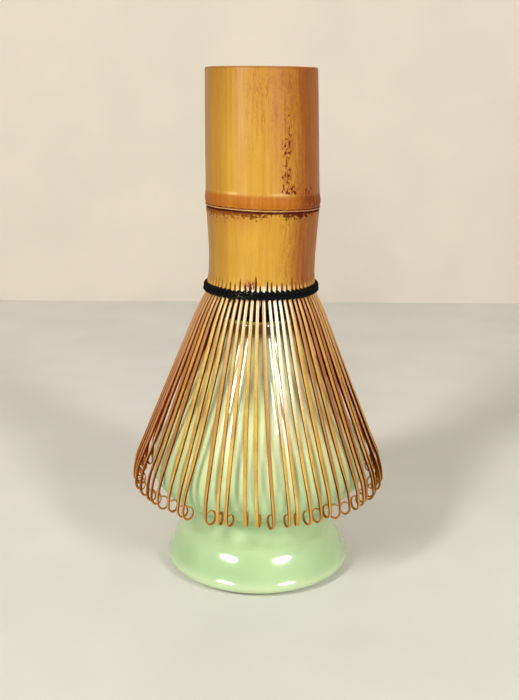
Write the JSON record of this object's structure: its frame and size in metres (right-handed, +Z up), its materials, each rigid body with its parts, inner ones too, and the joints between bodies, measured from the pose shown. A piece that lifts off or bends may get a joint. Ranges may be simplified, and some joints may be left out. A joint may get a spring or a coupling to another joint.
{
  "type": "bamboo tea whisk",
  "caption": "Bamboo tea whisk with a culm handle, black thread binding and fine flared tines curled at the tips, standing tines down on a glazed ceramic whisk holder.",
  "frame": {"origin": "on the table under the whisk's axis, at the middle of the holder's foot", "axes": "+Z up along the whisk's axis, from the holder's foot to the cut end of the handle; -Y is the front, with the thread's knot just left of it"},
  "size_m": [0.0642, 0.0642, 0.126],
  "materials": {
    "bamboo_skin": "cured bamboo skin with a satin sheen, golden honey brown, darker below the node",
    "bamboo_tine": "split bamboo: golden skin outside, red-brown on the split sides, satin",
    "black_thread": "matt black twisted cotton thread",
    "celadon_glaze": "pale green celadon glaze, glossy"
  },
  "bodies": {
    "holder": {"ceramic_holder": "celadon_glaze"},
    "handle": {"culm_handle": "bamboo_skin", "thread_outer_rows": "black_thread", "thread_inner_row": "black_thread"},
    "outer_section_01": {"outer_tines_01": "bamboo_tine"},
    "outer_section_02": {"outer_tines_02": "bamboo_tine"},
    "outer_section_03": {"outer_tines_03": "bamboo_tine"},
    "outer_section_04": {"outer_tines_04": "bamboo_tine"},
    "outer_section_05": {"outer_tines_05": "bamboo_tine"},
    "outer_section_06": {"outer_tines_06": "bamboo_tine"},
    "outer_section_07": {"outer_tines_07": "bamboo_tine"},
    "outer_section_08": {"outer_tines_08": "bamboo_tine"},
    "outer_section_09": {"outer_tines_09": "bamboo_tine"},
    "outer_section_10": {"outer_tines_10": "bamboo_tine"},
    "outer_section_11": {"outer_tines_11": "bamboo_tine"},
    "outer_section_12": {"outer_tines_12": "bamboo_tine"},
    "outer_section_13": {"outer_tines_13": "bamboo_tine"},
    "outer_section_14": {"outer_tines_14": "bamboo_tine"},
    "outer_section_15": {"outer_tines_15": "bamboo_tine"},
    "outer_section_16": {"outer_tines_16": "bamboo_tine"},
    "inner_section_01": {"inner_tines_01": "bamboo_tine"},
    "inner_section_02": {"inner_tines_02": "bamboo_tine"},
    "inner_section_03": {"inner_tines_03": "bamboo_tine"},
    "inner_section_04": {"inner_tines_04": "bamboo_tine"},
    "inner_section_05": {"inner_tines_05": "bamboo_tine"},
    "inner_section_06": {"inner_tines_06": "bamboo_tine"},
    "inner_section_07": {"inner_tines_07": "bamboo_tine"},
    "inner_section_08": {"inner_tines_08": "bamboo_tine"},
    "inner_section_09": {"inner_tines_09": "bamboo_tine"},
    "inner_section_10": {"inner_tines_10": "bamboo_tine"},
    "inner_section_11": {"inner_tines_11": "bamboo_tine"},
    "inner_section_12": {"inner_tines_12": "bamboo_tine"},
    "inner_section_13": {"inner_tines_13": "bamboo_tine"},
    "inner_section_14": {"inner_tines_14": "bamboo_tine"},
    "inner_section_15": {"inner_tines_15": "bamboo_tine"},
    "inner_section_16": {"inner_tines_16": "bamboo_tine"}
  },
  "joints": [
    {"name": "lift_off", "type": "slide", "parent": "holder", "child": "handle", "axis": [0, 0, 1], "range_m": [0, 0.06]},
    {"name": "outer_bend_01", "type": "hinge", "parent": "handle", "child": "outer_section_01", "pos_m": [0.01251, 0.00249, 0.0739], "axis": [0.1951, -0.9808, 0], "range_deg": [-0.8, 10], "stiffness_Nm_per_rad": 0.04},
    {"name": "outer_bend_02", "type": "hinge", "parent": "handle", "child": "outer_section_02", "pos_m": [0.0106, 0.00708, 0.0739], "axis": [0.5556, -0.8315, 0], "range_deg": [-0.8, 10], "stiffness_Nm_per_rad": 0.04},
    {"name": "outer_bend_03", "type": "hinge", "parent": "handle", "child": "outer_section_03", "pos_m": [0.00708, 0.0106, 0.0739], "axis": [0.8315, -0.5556, 0], "range_deg": [-0.8, 10], "stiffness_Nm_per_rad": 0.04},
    {"name": "outer_bend_04", "type": "hinge", "parent": "handle", "child": "outer_section_04", "pos_m": [0.00249, 0.01251, 0.0739], "axis": [0.9808, -0.1951, 0], "range_deg": [-0.8, 10], "stiffness_Nm_per_rad": 0.04},
    {"name": "outer_bend_05", "type": "hinge", "parent": "handle", "child": "outer_section_05", "pos_m": [-0.00249, 0.01251, 0.0739], "axis": [0.9808, 0.1951, 0], "range_deg": [-0.8, 10], "stiffness_Nm_per_rad": 0.04},
    {"name": "outer_bend_06", "type": "hinge", "parent": "handle", "child": "outer_section_06", "pos_m": [-0.00708, 0.0106, 0.0739], "axis": [0.8315, 0.5556, 0], "range_deg": [-0.8, 10], "stiffness_Nm_per_rad": 0.04},
    {"name": "outer_bend_07", "type": "hinge", "parent": "handle", "child": "outer_section_07", "pos_m": [-0.0106, 0.00708, 0.0739], "axis": [0.5556, 0.8315, 0], "range_deg": [-0.8, 10], "stiffness_Nm_per_rad": 0.04},
    {"name": "outer_bend_08", "type": "hinge", "parent": "handle", "child": "outer_section_08", "pos_m": [-0.01251, 0.00249, 0.0739], "axis": [0.1951, 0.9808, 0], "range_deg": [-0.8, 10], "stiffness_Nm_per_rad": 0.04},
    {"name": "outer_bend_09", "type": "hinge", "parent": "handle", "child": "outer_section_09", "pos_m": [-0.01251, -0.00249, 0.0739], "axis": [-0.1951, 0.9808, 0], "range_deg": [-0.8, 10], "stiffness_Nm_per_rad": 0.04},
    {"name": "outer_bend_10", "type": "hinge", "parent": "handle", "child": "outer_section_10", "pos_m": [-0.0106, -0.00708, 0.0739], "axis": [-0.5556, 0.8315, 0], "range_deg": [-0.8, 10], "stiffness_Nm_per_rad": 0.04},
    {"name": "outer_bend_11", "type": "hinge", "parent": "handle", "child": "outer_section_11", "pos_m": [-0.00708, -0.0106, 0.0739], "axis": [-0.8315, 0.5556, 0], "range_deg": [-0.8, 10], "stiffness_Nm_per_rad": 0.04},
    {"name": "outer_bend_12", "type": "hinge", "parent": "handle", "child": "outer_section_12", "pos_m": [-0.00249, -0.01251, 0.0739], "axis": [-0.9808, 0.1951, 0], "range_deg": [-0.8, 10], "stiffness_Nm_per_rad": 0.04},
    {"name": "outer_bend_13", "type": "hinge", "parent": "handle", "child": "outer_section_13", "pos_m": [0.00249, -0.01251, 0.0739], "axis": [-0.9808, -0.1951, 0], "range_deg": [-0.8, 10], "stiffness_Nm_per_rad": 0.04},
    {"name": "outer_bend_14", "type": "hinge", "parent": "handle", "child": "outer_section_14", "pos_m": [0.00708, -0.0106, 0.0739], "axis": [-0.8315, -0.5556, 0], "range_deg": [-0.8, 10], "stiffness_Nm_per_rad": 0.04},
    {"name": "outer_bend_15", "type": "hinge", "parent": "handle", "child": "outer_section_15", "pos_m": [0.0106, -0.00708, 0.0739], "axis": [-0.5556, -0.8315, 0], "range_deg": [-0.8, 10], "stiffness_Nm_per_rad": 0.04},
    {"name": "outer_bend_16", "type": "hinge", "parent": "handle", "child": "outer_section_16", "pos_m": [0.01251, -0.00249, 0.0739], "axis": [-0.1951, -0.9808, 0], "range_deg": [-0.8, 10], "stiffness_Nm_per_rad": 0.04},
    {"name": "inner_bend_01", "type": "hinge", "parent": "handle", "child": "inner_section_01", "pos_m": [0.01084, 0.00216, 0.0739], "axis": [0.1951, -0.9808, 0], "range_deg": [-0.3, 1.2], "stiffness_Nm_per_rad": 0.03},
    {"name": "inner_bend_02", "type": "hinge", "parent": "handle", "child": "inner_section_02", "pos_m": [0.00919, 0.00614, 0.0739], "axis": [0.5556, -0.8315, 0], "range_deg": [-0.3, 1.2], "stiffness_Nm_per_rad": 0.03},
    {"name": "inner_bend_03", "type": "hinge", "parent": "handle", "child": "inner_section_03", "pos_m": [0.00614, 0.00919, 0.0739], "axis": [0.8315, -0.5556, 0], "range_deg": [-0.3, 1.2], "stiffness_Nm_per_rad": 0.03},
    {"name": "inner_bend_04", "type": "hinge", "parent": "handle", "child": "inner_section_04", "pos_m": [0.00216, 0.01084, 0.0739], "axis": [0.9808, -0.1951, 0], "range_deg": [-0.3, 1.2], "stiffness_Nm_per_rad": 0.03},
    {"name": "inner_bend_05", "type": "hinge", "parent": "handle", "child": "inner_section_05", "pos_m": [-0.00216, 0.01084, 0.0739], "axis": [0.9808, 0.1951, 0], "range_deg": [-0.3, 1.2], "stiffness_Nm_per_rad": 0.03},
    {"name": "inner_bend_06", "type": "hinge", "parent": "handle", "child": "inner_section_06", "pos_m": [-0.00614, 0.00919, 0.0739], "axis": [0.8315, 0.5556, 0], "range_deg": [-0.3, 1.2], "stiffness_Nm_per_rad": 0.03},
    {"name": "inner_bend_07", "type": "hinge", "parent": "handle", "child": "inner_section_07", "pos_m": [-0.00919, 0.00614, 0.0739], "axis": [0.5556, 0.8315, 0], "range_deg": [-0.3, 1.2], "stiffness_Nm_per_rad": 0.03},
    {"name": "inner_bend_08", "type": "hinge", "parent": "handle", "child": "inner_section_08", "pos_m": [-0.01084, 0.00216, 0.0739], "axis": [0.1951, 0.9808, 0], "range_deg": [-0.3, 1.2], "stiffness_Nm_per_rad": 0.03},
    {"name": "inner_bend_09", "type": "hinge", "parent": "handle", "child": "inner_section_09", "pos_m": [-0.01084, -0.00216, 0.0739], "axis": [-0.1951, 0.9808, 0], "range_deg": [-0.3, 1.2], "stiffness_Nm_per_rad": 0.03},
    {"name": "inner_bend_10", "type": "hinge", "parent": "handle", "child": "inner_section_10", "pos_m": [-0.00919, -0.00614, 0.0739], "axis": [-0.5556, 0.8315, 0], "range_deg": [-0.3, 1.2], "stiffness_Nm_per_rad": 0.03},
    {"name": "inner_bend_11", "type": "hinge", "parent": "handle", "child": "inner_section_11", "pos_m": [-0.00614, -0.00919, 0.0739], "axis": [-0.8315, 0.5556, 0], "range_deg": [-0.3, 1.2], "stiffness_Nm_per_rad": 0.03},
    {"name": "inner_bend_12", "type": "hinge", "parent": "handle", "child": "inner_section_12", "pos_m": [-0.00216, -0.01084, 0.0739], "axis": [-0.9808, 0.1951, 0], "range_deg": [-0.3, 1.2], "stiffness_Nm_per_rad": 0.03},
    {"name": "inner_bend_13", "type": "hinge", "parent": "handle", "child": "inner_section_13", "pos_m": [0.00216, -0.01084, 0.0739], "axis": [-0.9808, -0.1951, 0], "range_deg": [-0.3, 1.2], "stiffness_Nm_per_rad": 0.03},
    {"name": "inner_bend_14", "type": "hinge", "parent": "handle", "child": "inner_section_14", "pos_m": [0.00614, -0.00919, 0.0739], "axis": [-0.8315, -0.5556, 0], "range_deg": [-0.3, 1.2], "stiffness_Nm_per_rad": 0.03},
    {"name": "inner_bend_15", "type": "hinge", "parent": "handle", "child": "inner_section_15", "pos_m": [0.00919, -0.00614, 0.0739], "axis": [-0.5556, -0.8315, 0], "range_deg": [-0.3, 1.2], "stiffness_Nm_per_rad": 0.03},
    {"name": "inner_bend_16", "type": "hinge", "parent": "handle", "child": "inner_section_16", "pos_m": [0.01084, -0.00216, 0.0739], "axis": [-0.1951, -0.9808, 0], "range_deg": [-0.3, 1.2], "stiffness_Nm_per_rad": 0.03}
  ],
  "couplings": [
    {"joint": "inner_bend_02", "follows": "inner_bend_01", "ratio": 1},
    {"joint": "inner_bend_03", "follows": "inner_bend_01", "ratio": 1},
    {"joint": "inner_bend_04", "follows": "inner_bend_01", "ratio": 1},
    {"joint": "inner_bend_05", "follows": "inner_bend_01", "ratio": 1},
    {"joint": "inner_bend_06", "follows": "inner_bend_01", "ratio": 1},
    {"joint": "inner_bend_07", "follows": "inner_bend_01", "ratio": 1},
    {"joint": "inner_bend_08", "follows": "inner_bend_01", "ratio": 1},
    {"joint": "inner_bend_09", "follows": "inner_bend_01", "ratio": 1},
    {"joint": "inner_bend_10", "follows": "inner_bend_01", "ratio": 1},
    {"joint": "inner_bend_11", "follows": "inner_bend_01", "ratio": 1},
    {"joint": "inner_bend_12", "follows": "inner_bend_01", "ratio": 1},
    {"joint": "inner_bend_13", "follows": "inner_bend_01", "ratio": 1},
    {"joint": "inner_bend_14", "follows": "inner_bend_01", "ratio": 1},
    {"joint": "inner_bend_15", "follows": "inner_bend_01", "ratio": 1},
    {"joint": "inner_bend_16", "follows": "inner_bend_01", "ratio": 1}
  ]
}
